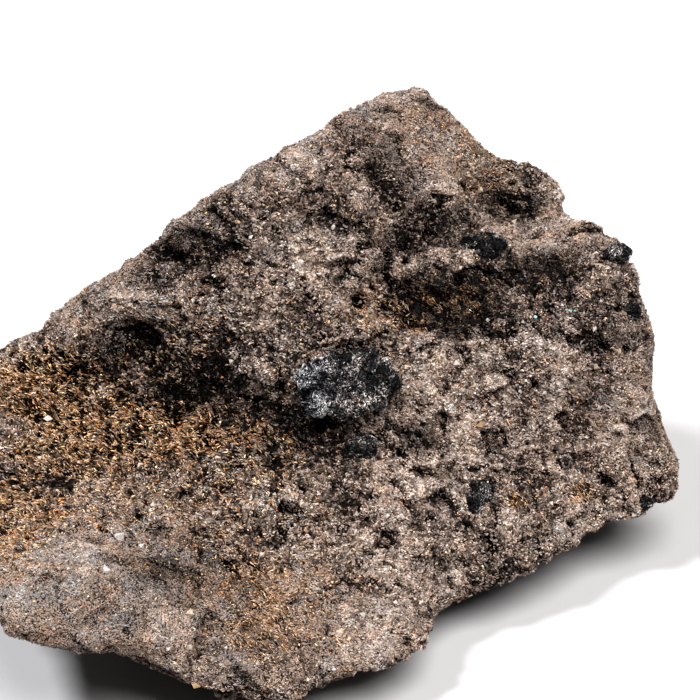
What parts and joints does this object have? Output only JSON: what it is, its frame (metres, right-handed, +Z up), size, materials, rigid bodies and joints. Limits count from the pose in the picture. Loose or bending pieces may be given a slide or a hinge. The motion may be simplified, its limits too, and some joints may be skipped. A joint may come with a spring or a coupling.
{
  "type": "alexandrite in schist",
  "caption": "Broken block of mica schist with dark alexandrite crystals set in its faces; it lies on the flat patch of its underside.",
  "frame": {"origin": "on the surface that the block lies on, under the centre of its outline", "axes": "+Z up from that surface; the steep broken wall with the largest crystal faces -Y; the low foot of the block runs to -X"},
  "size_m": [0.0802, 0.0696, 0.0461],
  "materials": {
    "schist": "rough broken mica schist, grey-brown with rusty stains",
    "alexandrite": "dark vitreous crystal with hackly broken ends"
  },
  "bodies": {
    "root": {"schist_matrix": "schist", "alexandrite_main": "alexandrite", "alexandrite_below": "alexandrite", "alexandrite_right": "alexandrite", "alexandrite_ledge": "alexandrite", "alexandrite_corner": "alexandrite", "alexandrite_side": "alexandrite", "alexandrite_edge": "alexandrite"}
  },
  "joints": []
}
